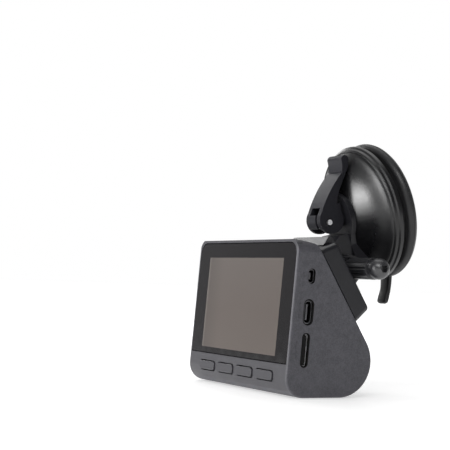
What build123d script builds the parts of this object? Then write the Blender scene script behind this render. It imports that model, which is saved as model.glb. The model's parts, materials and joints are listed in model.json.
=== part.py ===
"""Dash camera on a suction mount.

A wedge-shaped camera with a screen, four buttons and side sockets hangs from a pivot bar.
The bar turns in the neck of a windscreen suction cup, which a cam lever locks.

Frame: X runs along the camera's width, +X at the socket end. +Y points forward, from the
screen to the windscreen. +Z is up. The origin is the centre of the camera's flat bottom face.
"""
import os
from math import cos, radians, sin, tan

from build123d import *

os.makedirs("parts", exist_ok=True)

# ---------------------------------------------------------------- driving dimensions (mm, deg)
# Camera housing
HOUSING_WIDTH = 88.3
HOUSING_HEIGHT = 61.2
REAR_FOOT_Y = -16.0            # where the screen's plane meets the bottom plane
SCREEN_TILT = 4.0              # the screen leans forward at its top
SLOPE_TILT = 31.8              # the sloping front, measured from vertical
SLOPE_TOP = (-1.8, 57.5)       # a point (y, z) of the sloping front, near its top
ROOF_FRONT_Z = 59.5            # height of the roof's front corner
HEEL_RADIUS = 7.5
NOSE_RADIUS = 14.1
ROOF_RADIUS = 3.0
SHOULDER_RADIUS = 6.0          # rounding of the two top corners, seen from the rear
END_EDGE_RADIUS = 0.8
WALL = 2.0
END_CAP = 1.2
SPIGOT_DEPTH = 2.0             # the end plates' inner rims stop below the shoulders
SPIGOT_TOP = 54.5
LENS_SECTION = 25.25           # length of the housing piece that holds the lens
FIT = 0.05                     # radial running clearance of a pin or shaft
GAP = 0.3                      # space between bodies that move past each other
REACH = 200.0                  # longer than the whole part, for cuts that pass right through

# Screen and buttons
FRAME_DEPTH = 2.4
GLASS_BOTTOM = 12.7
GLASS_TOP = 60.3
GLASS_THICKNESS = 1.1
GLASS_CORNER = 5.2
PANEL_SIZE = (72.0, 43.6)
PANEL_CENTRE = 34.7
BUTTON_PITCH = 17.2
BUTTON_SIZE = (14.0, 3.65)
BUTTON_HEIGHT = 7.6
BUTTON_PROUD = 0.45
BUTTON_CORNER = 1.3
BUTTON_GAP = 0.45

# Sockets in the end cap, by their height along the screen's plane and their section
SOCKET_DEPTH = 7.0             # distance of the socket row from the screen's plane
REAR_CAMERA_SLOT = (47.1, 5.9, 3.1)
USB_SLOT = (33.1, 10.2, 4.6)
CARD_SLOT = (18.4, 13.4, 3.5)
BOARD_DEPTH = 8.8
BOARD_THICKNESS = 1.2
BOARD_SIZE = (77.6, 38.0)
BOARD_CENTRE = 34.5
STANDOFFS = ((37.5, 52.0), (37.5, 41.0), (-37.5, 52.0), (-37.5, 17.0))

# Lens
LENS_X = -30.2
LENS_Z = 15.0
LENS_BOSS_RADIUS = 11.2
LENS_FRONT_Y = 24.0

# Mount base, on the sloping front. Lengths along the slope start at SLOPE_TOP.
BASE_X = (-18.0, 43.0)
BASE_SPAN = (0.2, 33.5)
BASE_HEIGHT = 8.4
BASE_TOP_X = (-16.4, 42.6)     # the drafted block is shorter at its outer face
BASE_TOP_SPAN = (1.5, 32.0)
BASE_CORNER = 2.0
LIP_X = (11.0, 38.6)            # the raised lip along the block's upper edge
PAD_THICKNESS = 0.6
PLATE_THICKNESS = 1.4

# Pivot bar and knob
BAR_Y, BAR_Z = 22.8, 50.8
BAR_RADIUS = 4.0
BARREL_RADIUS = 7.0
SCREW_RADIUS = 1.5
BAR_X = (-2.0, 27.2)
LUG_RADIUS = 5.4
KNOB_X = (27.5, 43.6)
KNOB_RADIUS = 4.35
KNOB_BALL_X = 47.4
KNOB_BALL_RADIUS = 4.25

# Suction cup: its axis leans back, and heights are measured from the windscreen
CUP_X, CUP_Y, CUP_Z = 15.2, 42.6, 76.29
CUP_TILT = 14.2
PAD_RADIUS = 28.6
TAB_WIDTH = 5.2
DOME_APEX = 20.3
HUB_RADIUS = 10.8
WAIST_X, WAIST_Y = 7.0, -11.0   # half width of the neck plate at its waist and at its foot
FOOT_X, FOOT_Y = 9.5, -18.4
HUB_TOP = 20.7
HUB_FLOOR = 18.2
STEM_RADIUS = 3.4
PIN_HEIGHT = 28.0
PIN_RADIUS = 1.1
EYE_WIDTH = 7.2
LEVER_WIDTH = 11.2
LEVER_WALL = 1.7
LOBE_RADIUS = 5.7
LOBE_OFFSET = 1.47             # how far the cam lobe's centre stands from the pin

# ---------------------------------------------------------------- planes and axes worked out
screen_cos, screen_sin = cos(radians(SCREEN_TILT)), sin(radians(SCREEN_TILT))
slope_cos, slope_sin = cos(radians(SLOPE_TILT)), sin(radians(SLOPE_TILT))
cup_cos, cup_sin = cos(radians(CUP_TILT)), sin(radians(CUP_TILT))

half_width = HOUSING_WIDTH / 2
cap_x = half_width - END_CAP
seam_x = LENS_SECTION - half_width
neck_x = (CUP_X - 7.0, CUP_X + 7.0)

# Local X is +X and local Y runs up the screen; the normal points to the rear.
screen_plane = Plane((0, REAR_FOOT_Y, 0), x_dir=(1, 0, 0), z_dir=(0, -screen_cos, screen_sin))
# Local Y runs down the slope; the normal points away from the camera.
slope_plane = Plane((0, *SLOPE_TOP), x_dir=(1, 0, 0), z_dir=(0, slope_cos, slope_sin))
# The normal points from the windscreen to the camera; local Y runs up the cup.
cup_plane = Plane((CUP_X, CUP_Y, CUP_Z), x_dir=(1, 0, 0), z_dir=(0, -cup_cos, -cup_sin))
# A half section of the cup: local X is the radius and local Y the height from the windscreen.
cup_section = Plane((CUP_X, CUP_Y, CUP_Z), x_dir=(1, 0, 0), z_dir=(0, cup_sin, -cup_cos))
cup_axis = Axis((CUP_X, CUP_Y, CUP_Z), (0, -cup_cos, -cup_sin))
lens_axis = Axis((LENS_X, 0, LENS_Z), (0, 1, 0))
lens_section = Plane((LENS_X, 0, LENS_Z), x_dir=(1, 0, 0), z_dir=(0, 0, 1))

pin_y = CUP_Y - PIN_HEIGHT * cup_cos
pin_z = CUP_Z - PIN_HEIGHT * cup_sin
lobe_y = pin_y + LOBE_OFFSET * cos(radians(CUP_TILT + 30))
lobe_z = pin_z + LOBE_OFFSET * sin(radians(CUP_TILT + 30))


def side_plane(x):
    """The YZ plane at x, with local X along +Y and local Y along +Z."""
    return Plane.YZ.offset(x)


def save(piece, name):
    """Label a finished piece and write its STEP file."""
    piece.part.label = name
    export_step(piece.part, f"parts/{name}.step")


# ---------------------------------------------------------------- shared profiles
def slope_y(z):
    """Y of the sloping front at height z."""
    return SLOPE_TOP[0] + (SLOPE_TOP[1] - z) * tan(radians(SLOPE_TILT))


def rear_y(z):
    """Y of the screen's plane at height z."""
    return REAR_FOOT_Y + z * tan(radians(SCREEN_TILT))


def housing_profile(x, inset=0.0):
    """The wedge-shaped side profile, drawn at x and shrunk by inset."""
    with BuildSketch(side_plane(x)) as profile:
        with BuildLine():
            Polyline(
                (rear_y(0), 0),
                (slope_y(0), 0),
                (slope_y(ROOF_FRONT_Z), ROOF_FRONT_Z),
                (rear_y(HOUSING_HEIGHT), HOUSING_HEIGHT),
                close=True,
            )
        make_face()
        fillet(profile.vertices().group_by(Axis.Y)[0].sort_by(Axis.X)[0], HEEL_RADIUS)
        fillet(profile.vertices().sort_by(Axis.X)[-1], NOSE_RADIUS)
        fillet(profile.vertices().sort_by(Axis.Y)[-2], ROOF_RADIUS)
        if inset:
            offset(amount=-inset, mode=Mode.REPLACE)
    return profile.sketch


def shoulder_limits(inset=0.0, end=0.0):
    """The housing's outline seen from the rear, with its two rounded shoulders, shortened by end at each side."""
    with BuildSketch(Plane.XZ.offset(60)) as outline:
        with Locations((0, (HOUSING_HEIGHT + 1) / 2 - 0.5)):
            Rectangle(HOUSING_WIDTH - 2 * end, HOUSING_HEIGHT + 1 - 2 * inset)
        fillet(outline.vertices().group_by(Axis.Y)[-1], SHOULDER_RADIUS - inset)
    return outline.sketch


def cut_face(plane):
    """A face on the plane that reaches past the whole part on every side."""
    with BuildSketch(plane) as face:
        Rectangle(REACH, REACH)
    return face.sketch


# ---------------------------------------------------------------- camera housing
with BuildPart() as housing_block:
    extrude(housing_profile(-half_width), amount=HOUSING_WIDTH)
    fillet(housing_block.faces().sort_by(Axis.X)[-1].edges(), END_EDGE_RADIUS)
    fillet(housing_block.faces().sort_by(Axis.X)[0].edges(), END_EDGE_RADIUS)
    extrude(shoulder_limits(), amount=-120, mode=Mode.INTERSECT)

with BuildPart() as housing_hollow:
    extrude(housing_profile(-cap_x, WALL), amount=2 * cap_x)
    extrude(shoulder_limits(WALL, END_CAP), amount=-120, mode=Mode.INTERSECT)

with BuildPart() as shell_ring:
    add(housing_block.part)
    add(housing_hollow.part, mode=Mode.SUBTRACT)
    extrude(cut_face(screen_plane.offset(-FRAME_DEPTH)), amount=REACH, mode=Mode.SUBTRACT)
    # Relief for the button flanges
    with BuildSketch(screen_plane.offset(-FRAME_DEPTH)):
        with Locations((0, BUTTON_HEIGHT + 0.2)):
            Rectangle(4 * BUTTON_PITCH, BUTTON_SIZE[1] + 2.0)
    extrude(amount=-2.0, mode=Mode.SUBTRACT)

# The front shell, from the lens section's seam to the socket end cap.
with BuildPart() as main_shell:
    add(shell_ring.part)
    split(bisect_by=side_plane(seam_x), keep=Keep.TOP)
    split(bisect_by=side_plane(cap_x), keep=Keep.BOTTOM)
    # Status light window, below the mount base
    with BuildSketch(slope_plane.offset(-WALL - 1)):
        with Locations((CUP_X, BASE_SPAN[1] + 3.4)):
            SlotOverall(15.0, 3.4)
    extrude(amount=WALL + 5, mode=Mode.SUBTRACT)
    # Speaker holes in the bottom
    with BuildSketch(Plane.XY.offset(-1)):
        with GridLocations(2.6, 2.6, 6, 2):
            Circle(0.6)
    extrude(amount=WALL + 2, mode=Mode.SUBTRACT)
save(main_shell, "main_shell")

# The lens section of the housing, with a round boss for the lens.
with BuildPart() as lens_housing:
    add(shell_ring.part)
    split(bisect_by=side_plane(seam_x), keep=Keep.BOTTOM)
    split(bisect_by=side_plane(-cap_x), keep=Keep.TOP)
    with BuildSketch(lens_section):
        with BuildLine():
            Polyline(
                (0, 8.0),
                (LENS_BOSS_RADIUS, 8.0),
                (LENS_BOSS_RADIUS, LENS_FRONT_Y - 0.8),
                (LENS_BOSS_RADIUS - 0.8, LENS_FRONT_Y),
                (0, LENS_FRONT_Y),
                close=True,
            )
        make_face()
    revolve(axis=lens_axis)
    with BuildSketch(lens_section):
        with BuildLine():
            Polyline(
                (0, 0),
                (8.6, 0),
                (8.6, LENS_FRONT_Y - 2.2),
                (9.8, LENS_FRONT_Y - 2.2),
                (9.8, LENS_FRONT_Y + 1),
                (0, LENS_FRONT_Y + 1),
                close=True,
            )
        make_face()
    revolve(axis=lens_axis, mode=Mode.SUBTRACT)
save(lens_housing, "lens_housing")


def cap_plate(x_low, x_high):
    """One end plate of the housing, between two X positions."""
    with BuildPart() as plate:
        add(housing_block.part)
        split(bisect_by=side_plane(x_low), keep=Keep.TOP)
        split(bisect_by=side_plane(x_high), keep=Keep.BOTTOM)
    return plate.part


def cap_spigot(x, depth):
    """The rim on the inside of an end plate at x; it reaches depth into the shell."""
    root = 0.5 if depth < 0 else -0.5
    with BuildPart() as spigot:
        extrude(housing_profile(x + root, WALL + 0.5), amount=depth - root)
        extrude(housing_profile(x, WALL + 1.7), amount=depth, mode=Mode.SUBTRACT)
        split(bisect_by=Plane.XY.offset(SPIGOT_TOP), keep=Keep.BOTTOM)
    return spigot.part


def socket_face(x):
    """The sockets' plane at x: local X runs up along the screen and local Y to the rear."""
    return Plane(
        (x, rear_y(0) + SOCKET_DEPTH / screen_cos, 0),
        x_dir=(0, screen_sin, screen_cos),
        z_dir=(1, 0, 0),
    )


def socket_opening(slot):
    """The rounded slot of one socket, at the inside of the end cap."""
    height, length, width = slot
    with BuildSketch(socket_face(cap_x - 1)) as opening:
        with Locations((height, 0)):
            RectangleRounded(length, width, width / 2 - 0.05)
    return opening.sketch


socket_cap_parts = (cap_plate(cap_x, half_width), cap_spigot(cap_x, -SPIGOT_DEPTH))
lens_cap_parts = (cap_plate(-half_width, -cap_x), cap_spigot(-cap_x, SPIGOT_DEPTH))

with BuildPart() as socket_end_cap:
    add(socket_cap_parts)
    for slot in (REAR_CAMERA_SLOT, USB_SLOT, CARD_SLOT):
        extrude(socket_opening(slot), amount=END_CAP + 2, mode=Mode.SUBTRACT)
save(socket_end_cap, "socket_end_cap")

with BuildPart() as lens_end_cap:
    add(lens_cap_parts)
    # Room for the lens boss
    with BuildSketch(Plane.XZ.offset(-3)):
        with Locations((LENS_X, LENS_Z)):
            Circle(LENS_BOSS_RADIUS + 0.2)
    extrude(amount=-40, mode=Mode.SUBTRACT)
save(lens_end_cap, "lens_end_cap")

# ---------------------------------------------------------------- rear frame, glass and buttons
button_xs = [BUTTON_PITCH * (i - 1.5) for i in range(4)]

with BuildPart() as rear_frame:
    add(housing_block.part)
    extrude(cut_face(screen_plane.offset(-FRAME_DEPTH)), amount=REACH, mode=Mode.INTERSECT)
    split(bisect_by=side_plane(-cap_x), keep=Keep.TOP)
    split(bisect_by=side_plane(cap_x), keep=Keep.BOTTOM)
    # Pocket for the glass
    with BuildSketch(screen_plane.offset(-GLASS_THICKNESS - 0.1)) as glass_pocket:
        with Locations((0, (GLASS_BOTTOM + GLASS_TOP) / 2)):
            Rectangle(2 * cap_x, GLASS_TOP - GLASS_BOTTOM)
        fillet(glass_pocket.vertices().group_by(Axis.Y)[-1], GLASS_CORNER)
    extrude(amount=10, mode=Mode.SUBTRACT)
    # Window for the display panel
    with BuildSketch(screen_plane.offset(-FRAME_DEPTH - 1)):
        with Locations((0, PANEL_CENTRE)):
            Rectangle(PANEL_SIZE[0] + 0.4, PANEL_SIZE[1] + 0.4)
    extrude(amount=10, mode=Mode.SUBTRACT)
    # Button openings
    with BuildSketch(screen_plane.offset(-FRAME_DEPTH - 1)):
        with Locations(*[(x, BUTTON_HEIGHT) for x in button_xs]):
            RectangleRounded(BUTTON_SIZE[0] + 2 * BUTTON_GAP, BUTTON_SIZE[1] + 2 * BUTTON_GAP,
                             BUTTON_CORNER + BUTTON_GAP)
    extrude(amount=10, mode=Mode.SUBTRACT)
    # Standoffs for the main board
    with BuildSketch(screen_plane.offset(-FRAME_DEPTH)):
        with Locations(*STANDOFFS):
            Circle(1.4)
    extrude(amount=FRAME_DEPTH - BOARD_DEPTH)
    with BuildSketch(screen_plane.offset(-FRAME_DEPTH - 2)):
        with Locations(*STANDOFFS):
            Circle(0.8)
    extrude(amount=-10, mode=Mode.SUBTRACT)
save(rear_frame, "rear_frame")

with BuildPart() as display_glass:
    with BuildSketch(screen_plane.offset(-GLASS_THICKNESS - 0.1)) as glass_outline:
        with Locations((0, (GLASS_BOTTOM + GLASS_TOP) / 2)):
            Rectangle(2 * cap_x - 0.2, GLASS_TOP - GLASS_BOTTOM - 0.3)
        fillet(glass_outline.vertices().group_by(Axis.Y)[-1], GLASS_CORNER)
        fillet(glass_outline.vertices().group_by(Axis.Y)[0], 0.4)
    extrude(amount=GLASS_THICKNESS)
    chamfer(display_glass.faces().sort_by(Axis.Y)[0].edges(), 0.25)
save(display_glass, "display_glass")

with BuildPart() as display_panel:
    with BuildSketch(screen_plane.offset(-GLASS_THICKNESS - 2.6)):
        with Locations((0, PANEL_CENTRE)):
            Rectangle(*PANEL_SIZE)
    extrude(amount=2.5)
save(display_panel, "display_panel")

for number, x in enumerate(button_xs, start=1):
    with BuildPart() as button:
        # Flange that keeps the button behind the frame
        with BuildSketch(screen_plane.offset(-FRAME_DEPTH - GAP)):
            with Locations((x, BUTTON_HEIGHT + 0.6)):
                RectangleRounded(BUTTON_SIZE[0] + 1.6, BUTTON_SIZE[1] + 0.4, 1.6)
        extrude(amount=-0.8)
        with BuildSketch(screen_plane.offset(-FRAME_DEPTH - GAP)):
            with Locations((x, BUTTON_HEIGHT)):
                RectangleRounded(*BUTTON_SIZE, BUTTON_CORNER)
        extrude(amount=FRAME_DEPTH + GAP + BUTTON_PROUD)
        fillet(button.faces().sort_by(Axis.Y)[0].edges(), 0.35)
    save(button, f"button_{number}")

switch_front = FRAME_DEPTH + GAP + 0.8 + 0.5

with BuildPart() as button_board:
    with BuildSketch(screen_plane.offset(-switch_front - 1.6)):
        with Locations((0, BUTTON_HEIGHT)):
            Rectangle(76.0, 4.6)
    extrude(amount=-1.0)
save(button_board, "button_board")

with BuildPart() as tact_switches:
    with BuildSketch(screen_plane.offset(-switch_front - 1.6)):
        with Locations(*[(x, BUTTON_HEIGHT) for x in button_xs]):
            Rectangle(4.2, 3.2)
    extrude(amount=1.1)
    with BuildSketch(screen_plane.offset(-switch_front - 0.5)):
        with Locations(*[(x, BUTTON_HEIGHT) for x in button_xs]):
            Circle(1.0)
    extrude(amount=0.5)
save(tact_switches, "tact_switches")

# ---------------------------------------------------------------- electronics inside
board_plane = screen_plane.offset(-BOARD_DEPTH)

with BuildPart() as main_board:
    with BuildSketch(board_plane):
        with Locations((0, BOARD_CENTRE)):
            Rectangle(*BOARD_SIZE)
        with Locations(*STANDOFFS):
            Circle(0.8, mode=Mode.SUBTRACT)
    extrude(amount=-BOARD_THICKNESS)
save(main_board, "main_board")

with BuildPart() as board_screws:
    with BuildSketch(board_plane.offset(-BOARD_THICKNESS)):
        with Locations(*STANDOFFS):
            Circle(1.3)
    extrude(amount=-1.0)
    with BuildSketch(board_plane.offset(-BOARD_THICKNESS)):
        with Locations(*STANDOFFS):
            Circle(0.8)
    extrude(amount=BOARD_THICKNESS + 3.5)
save(board_screws, "board_screws")


def socket_body(slot, length, shell_length, shell_width, wall, x_face):
    """A metal socket shell, open at its +X face, standing at its height on the board."""
    mouth = socket_face(x_face)
    with BuildPart() as body:
        with BuildSketch(mouth):
            with Locations((slot[0], 0)):
                RectangleRounded(shell_length, shell_width, shell_width / 2 - 0.3)
        extrude(amount=-length)
        with BuildSketch(mouth):
            with Locations((slot[0], 0)):
                RectangleRounded(shell_length - 2 * wall, shell_width - 2 * wall,
                                 shell_width / 2 - wall - 0.1)
        extrude(amount=-length + 1.0, mode=Mode.SUBTRACT)
        # Contact tongue in the middle
        with BuildSketch(mouth.offset(-1.0)):
            with Locations((slot[0], 0)):
                Rectangle(shell_length - 2 * wall - 2.2, 0.7)
        extrude(amount=-length + 1.5)
    return body


socket_x = cap_x + END_CAP - 0.8
usb_socket = socket_body(USB_SLOT, 8.0, 8.9, 3.3, 0.3, socket_x)
save(usb_socket, "usb_socket")

rear_camera_socket = socket_body(REAR_CAMERA_SLOT, 7.0, 5.3, 2.5, 0.3, socket_x)
save(rear_camera_socket, "rear_camera_socket")

card_plane = socket_face(cap_x - 0.2)

with BuildPart() as card_socket:
    with BuildSketch(card_plane):
        with Locations((CARD_SLOT[0], 0)):
            Rectangle(13.6, 2.6)
    extrude(amount=-16.0)
    with BuildSketch(card_plane):
        with Locations((CARD_SLOT[0], 0)):
            Rectangle(11.0 + 2 * GAP, 1.0 + 2 * GAP)
    extrude(amount=-15.4, mode=Mode.SUBTRACT)
save(card_socket, "card_socket")

with BuildPart() as memory_card:
    with BuildSketch(card_plane.offset(0.6)):
        with Locations((CARD_SLOT[0], 0)):
            Rectangle(11.0, 1.0)
    extrude(amount=-15.0)
    # The raised grip along the outer end
    with BuildSketch(card_plane.offset(0.6)):
        with Locations((CARD_SLOT[0], -0.55)):
            Rectangle(9.6, 0.2)
    extrude(amount=-1.0)
save(memory_card, "memory_card")

with BuildPart() as heat_spreader:
    with BuildSketch(board_plane.offset(-BOARD_THICKNESS - 1.6)):
        with Locations((2.0, 33.0)):
            RectangleRounded(30.0, 22.0, 1.5)
    extrude(amount=1.5)
    with BuildSketch(board_plane.offset(-BOARD_THICKNESS - 1.6)):
        with Locations((2.0, 33.0)):
            with GridLocations(0, 4.0, 1, 5):
                Rectangle(28.0, 1.2)
    extrude(amount=-1.6)
save(heat_spreader, "heat_spreader")

with BuildPart() as supercapacitors:
    with BuildSketch(side_plane(-8.0)):
        with Locations((6.0, 13.0), (14.6, 15.0)):
            Circle(4.0)
    extrude(amount=22.0)
save(supercapacitors, "supercapacitors")

with BuildPart() as speaker:
    with BuildSketch(Plane.XY.offset(WALL + 0.1)):
        RectangleRounded(19.0, 9.0, 2.0)
    extrude(amount=3.2)
save(speaker, "speaker")

with BuildPart() as microphone:
    with BuildSketch(Plane.XY.offset(WALL + 0.1)):
        with Locations((30.0, 0)):
            Rectangle(3.8, 3.0)
    extrude(amount=1.2)
save(microphone, "microphone")

with BuildPart() as satellite_antenna:
    with BuildSketch(slope_plane.offset(-WALL - 5.2)):
        with Locations((24.0, 20.0)):
            RectangleRounded(18.0, 16.0, 0.8)
    extrude(amount=4.5)
save(satellite_antenna, "satellite_antenna")

with BuildPart() as status_light:
    with BuildSketch(slope_plane.offset(-WALL)):
        with Locations((CUP_X, BASE_SPAN[1] + 3.4)):
            SlotOverall(14.8, 3.2)
    extrude(amount=WALL + 0.1)
save(status_light, "status_light")

# ---------------------------------------------------------------- lens
with BuildPart() as lens_barrel:
    with BuildSketch(lens_section):
        with BuildLine():
            Polyline(
                (0, 2.0),
                (8.4, 2.0),
                (8.4, LENS_FRONT_Y - 2.4),
                (6.8, LENS_FRONT_Y - 2.4),
                (4.6, LENS_FRONT_Y - 5.2),
                (0, LENS_FRONT_Y - 5.2),
                close=True,
            )
        make_face()
    revolve(axis=lens_axis)
save(lens_barrel, "lens_barrel")

# The front lens is a cap of a sphere on a short cylinder.
lens_rim = LENS_FRONT_Y - 4.6
lens_top = LENS_FRONT_Y - 3.1
lens_curve = (4.4**2 + (lens_top - lens_rim) ** 2) / (2 * (lens_top - lens_rim))

with BuildPart() as front_lens:
    with BuildSketch(lens_section):
        with BuildLine():
            Polyline((0, lens_top), (0, lens_rim - 0.5), (4.4, lens_rim - 0.5), (4.4, lens_rim))
            ThreePointArc((4.4, lens_rim), (2.4, lens_top - lens_curve + (lens_curve**2 - 2.4**2) ** 0.5),
                          (0, lens_top))
        make_face()
    revolve(axis=lens_axis)
save(front_lens, "front_lens")

with BuildPart() as lens_trim_ring:
    with BuildSketch(lens_section):
        with BuildLine():
            Polyline(
                (6.9, LENS_FRONT_Y - 2.1),
                (9.7, LENS_FRONT_Y - 2.1),
                (9.7, LENS_FRONT_Y + 0.4),
                (9.2, LENS_FRONT_Y + 0.9),
                (8.6, LENS_FRONT_Y + 0.9),
                close=True,
            )
        make_face()
    revolve(axis=lens_axis)
save(lens_trim_ring, "lens_trim_ring")

with BuildPart() as sensor_board:
    with BuildSketch(Plane.XZ.offset(-0.6)):
        with Locations((LENS_X, LENS_Z)):
            RectangleRounded(17.0, 17.0, 1.0)
    extrude(amount=-1.2)
save(sensor_board, "sensor_board")

# ---------------------------------------------------------------- mount base on the slope
def base_outline(height, inset=0.0):
    """The mount base's rounded outline at a height above the slope, shrunk by inset."""
    share = height / BASE_HEIGHT
    left, right = (a + (b - a) * share for a, b in zip(BASE_X, BASE_TOP_X))
    upper, lower = (a + (b - a) * share for a, b in zip(BASE_SPAN, BASE_TOP_SPAN))
    with BuildSketch(slope_plane.offset(height)) as outline:
        with Locations(((left + right) / 2, (upper + lower) / 2)):
            RectangleRounded(right - left - 2 * inset, lower - upper - 2 * inset, BASE_CORNER)
    return outline.sketch


with BuildPart() as adhesive_pad:
    extrude(base_outline(0, 1.0), amount=PAD_THICKNESS)
save(adhesive_pad, "adhesive_pad")

with BuildPart() as base_plate:
    loft([base_outline(PAD_THICKNESS).face(), base_outline(PAD_THICKNESS + PLATE_THICKNESS).face()])
save(base_plate, "base_plate")

shell_bottom = PAD_THICKNESS + PLATE_THICKNESS
shell_rise = BASE_HEIGHT - shell_bottom
lug_thickness = 3.6
lug_xs = (neck_x[0] - GAP - 1.0 - lug_thickness, neck_x[1] + GAP + 1.0)

with BuildPart() as mount_base:
    loft([base_outline(shell_bottom).face(), base_outline(BASE_HEIGHT).face()])
    fillet(mount_base.faces().sort_by(Axis((0, 0, 0), (0, slope_cos, slope_sin)))[-1].edges(), 1.2)
    # The hollow inside
    extrude(base_outline(shell_bottom, 4.0), amount=shell_rise - 2.2, mode=Mode.SUBTRACT)
    # Two lugs that carry the pivot bar
    for x in lug_xs:
        with BuildSketch(side_plane(x)):
            with Locations((BAR_Y, BAR_Z)):
                Circle(LUG_RADIUS)
            with BuildLine():
                Polyline(
                    (BAR_Y - 1.0, BAR_Z + 5.4),
                    (BAR_Y - 12.5, BAR_Z + 3.0),
                    (BAR_Y - 3.0, BAR_Z - 12.5),
                    (BAR_Y + 4.9, BAR_Z - 2.5),
                    close=True,
                )
            make_face()
        extrude(amount=lug_thickness)
    # The raised lip behind the upper edge
    with BuildSketch(side_plane(LIP_X[0])):
        with BuildLine():
            Polyline((2.2, 59.4), (4.4, 62.7), (6.0, 62.9), (7.6, 60.4), (6.6, 57.5), close=True)
        make_face()
    extrude(amount=LIP_X[1] - LIP_X[0])
    # Keep the housing's slope and the pad clear
    extrude(cut_face(slope_plane.offset(shell_bottom)), amount=-REACH, mode=Mode.SUBTRACT)
    with BuildSketch(side_plane(lug_xs[0] - 1)):
        with Locations((BAR_Y, BAR_Z)):
            Circle(BAR_RADIUS)
    extrude(amount=lug_xs[1] - lug_xs[0] + lug_thickness + 2, mode=Mode.SUBTRACT)
save(mount_base, "mount_base")

# ---------------------------------------------------------------- pivot bar, washers and knob
with BuildPart() as pivot_bar:
    with BuildSketch(side_plane(BAR_X[0])):
        with Locations((BAR_Y, BAR_Z)):
            Circle(BAR_RADIUS)
            Circle(SCREW_RADIUS + FIT, mode=Mode.SUBTRACT)
    extrude(amount=BAR_X[1] - BAR_X[0])
save(pivot_bar, "pivot_bar")

with BuildPart() as friction_washers:
    for x in (neck_x[0] - GAP - 1.0, neck_x[1] + GAP):
        with BuildSketch(side_plane(x)):
            with Locations((BAR_Y, BAR_Z)):
                Circle(LUG_RADIUS)
                Circle(BAR_RADIUS, mode=Mode.SUBTRACT)
        extrude(amount=1.0)
save(friction_washers, "friction_washers")

with BuildPart() as clamp_nut:
    with BuildSketch(side_plane(BAR_X[0] - 2.6)):
        with Locations((BAR_Y, BAR_Z)):
            RegularPolygon(3.6, 6)
            Circle(SCREW_RADIUS + FIT, mode=Mode.SUBTRACT)
    extrude(amount=2.6)
save(clamp_nut, "clamp_nut")

with BuildPart() as clamp_screw:
    with BuildSketch(side_plane(BAR_X[0] - 3.4)):
        with Locations((BAR_Y, BAR_Z)):
            Circle(SCREW_RADIUS)
    extrude(amount=KNOB_X[1] - BAR_X[0] + 3.4 - 2.0)
save(clamp_screw, "clamp_screw")

with BuildPart() as tightening_knob:
    # Fluted sleeve
    with BuildSketch(side_plane(KNOB_X[0])):
        with Locations((BAR_Y, BAR_Z)):
            Circle(KNOB_RADIUS)
            with PolarLocations(KNOB_RADIUS + 0.25, 12):
                Circle(0.6, mode=Mode.SUBTRACT)
    extrude(amount=KNOB_X[1] - KNOB_X[0])
    # Ball end
    with BuildSketch(Plane((0, BAR_Y, BAR_Z), x_dir=(1, 0, 0), z_dir=(0, 0, 1))):
        with BuildLine():
            Line((KNOB_X[1], 0), (KNOB_X[1], 3.6))
            Line((KNOB_X[1], 3.6), (KNOB_BALL_X - 2.2, 3.64))
            ThreePointArc(
                (KNOB_BALL_X - 2.2, 3.64),
                (KNOB_BALL_X, KNOB_BALL_RADIUS),
                (KNOB_BALL_X + KNOB_BALL_RADIUS, 0),
            )
            Line((KNOB_BALL_X + KNOB_BALL_RADIUS, 0), (KNOB_X[1], 0))
        make_face()
    revolve(axis=Axis((0, BAR_Y, BAR_Z), (1, 0, 0)))
    # Hexagonal key socket in the ball
    with BuildSketch(side_plane(KNOB_BALL_X + 1.6)):
        with Locations((BAR_Y, BAR_Z)):
            RegularPolygon(1.6, 6)
    extrude(amount=6, mode=Mode.SUBTRACT)
    # Seat of the clamp screw
    with BuildSketch(side_plane(KNOB_X[0] - 1)):
        with Locations((BAR_Y, BAR_Z)):
            Circle(SCREW_RADIUS)
    extrude(amount=KNOB_X[1] - KNOB_X[0] - 1.0, mode=Mode.SUBTRACT)
save(tightening_knob, "tightening_knob")

# ---------------------------------------------------------------- suction dome and neck
def dome_height(r):
    """Height of the dome's outer skin at radius r."""
    return 9.6 + (DOME_APEX - 9.6) * (1 - (r / 27.4) ** 2) ** 0.95


def dome_envelope():
    """The dome's outer shape, solid, with the seat of the neck's round end cut in."""
    with BuildPart() as envelope:
        with BuildSketch(cup_section):
            with BuildLine():
                Polyline(
                    (0, 4.6), (25.6, 4.6), (25.6, 6.8), (27.8, 6.8), (28.4, 7.4), (28.4, 8.8),
                    (27.7, 9.3), (27.5, 10.4), (26.9, 10.8), (26.3, dome_height(26.3)),
                )
                Spline(*[(r, dome_height(r)) for r in (26.3, 24.6, 21.0, 15.0, 8.0, 0.0)],
                       tangents=[(-0.5, 1.0), (-1.0, 0.0)])
                Line((0, dome_height(0)), (0, 4.6))
            make_face()
        revolve(axis=cup_axis)
        extrude(neck_seat, amount=10, mode=Mode.SUBTRACT)
    return envelope.part


def neck_outline(height):
    """The neck plate's outline: a round end on the cup's axis, a waist below it and a flared foot."""
    with BuildSketch(cup_plane.offset(height)) as outline:
        Circle(HUB_RADIUS)
        Polygon(
            (-HUB_RADIUS, 0), (-WAIST_X, WAIST_Y), (-FOOT_X, FOOT_Y),
            (FOOT_X, FOOT_Y), (WAIST_X, WAIST_Y), (HUB_RADIUS, 0), align=None,
        )
    return outline.sketch


neck_seat = neck_outline(HUB_FLOOR)
dome_solid = dome_envelope()

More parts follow.
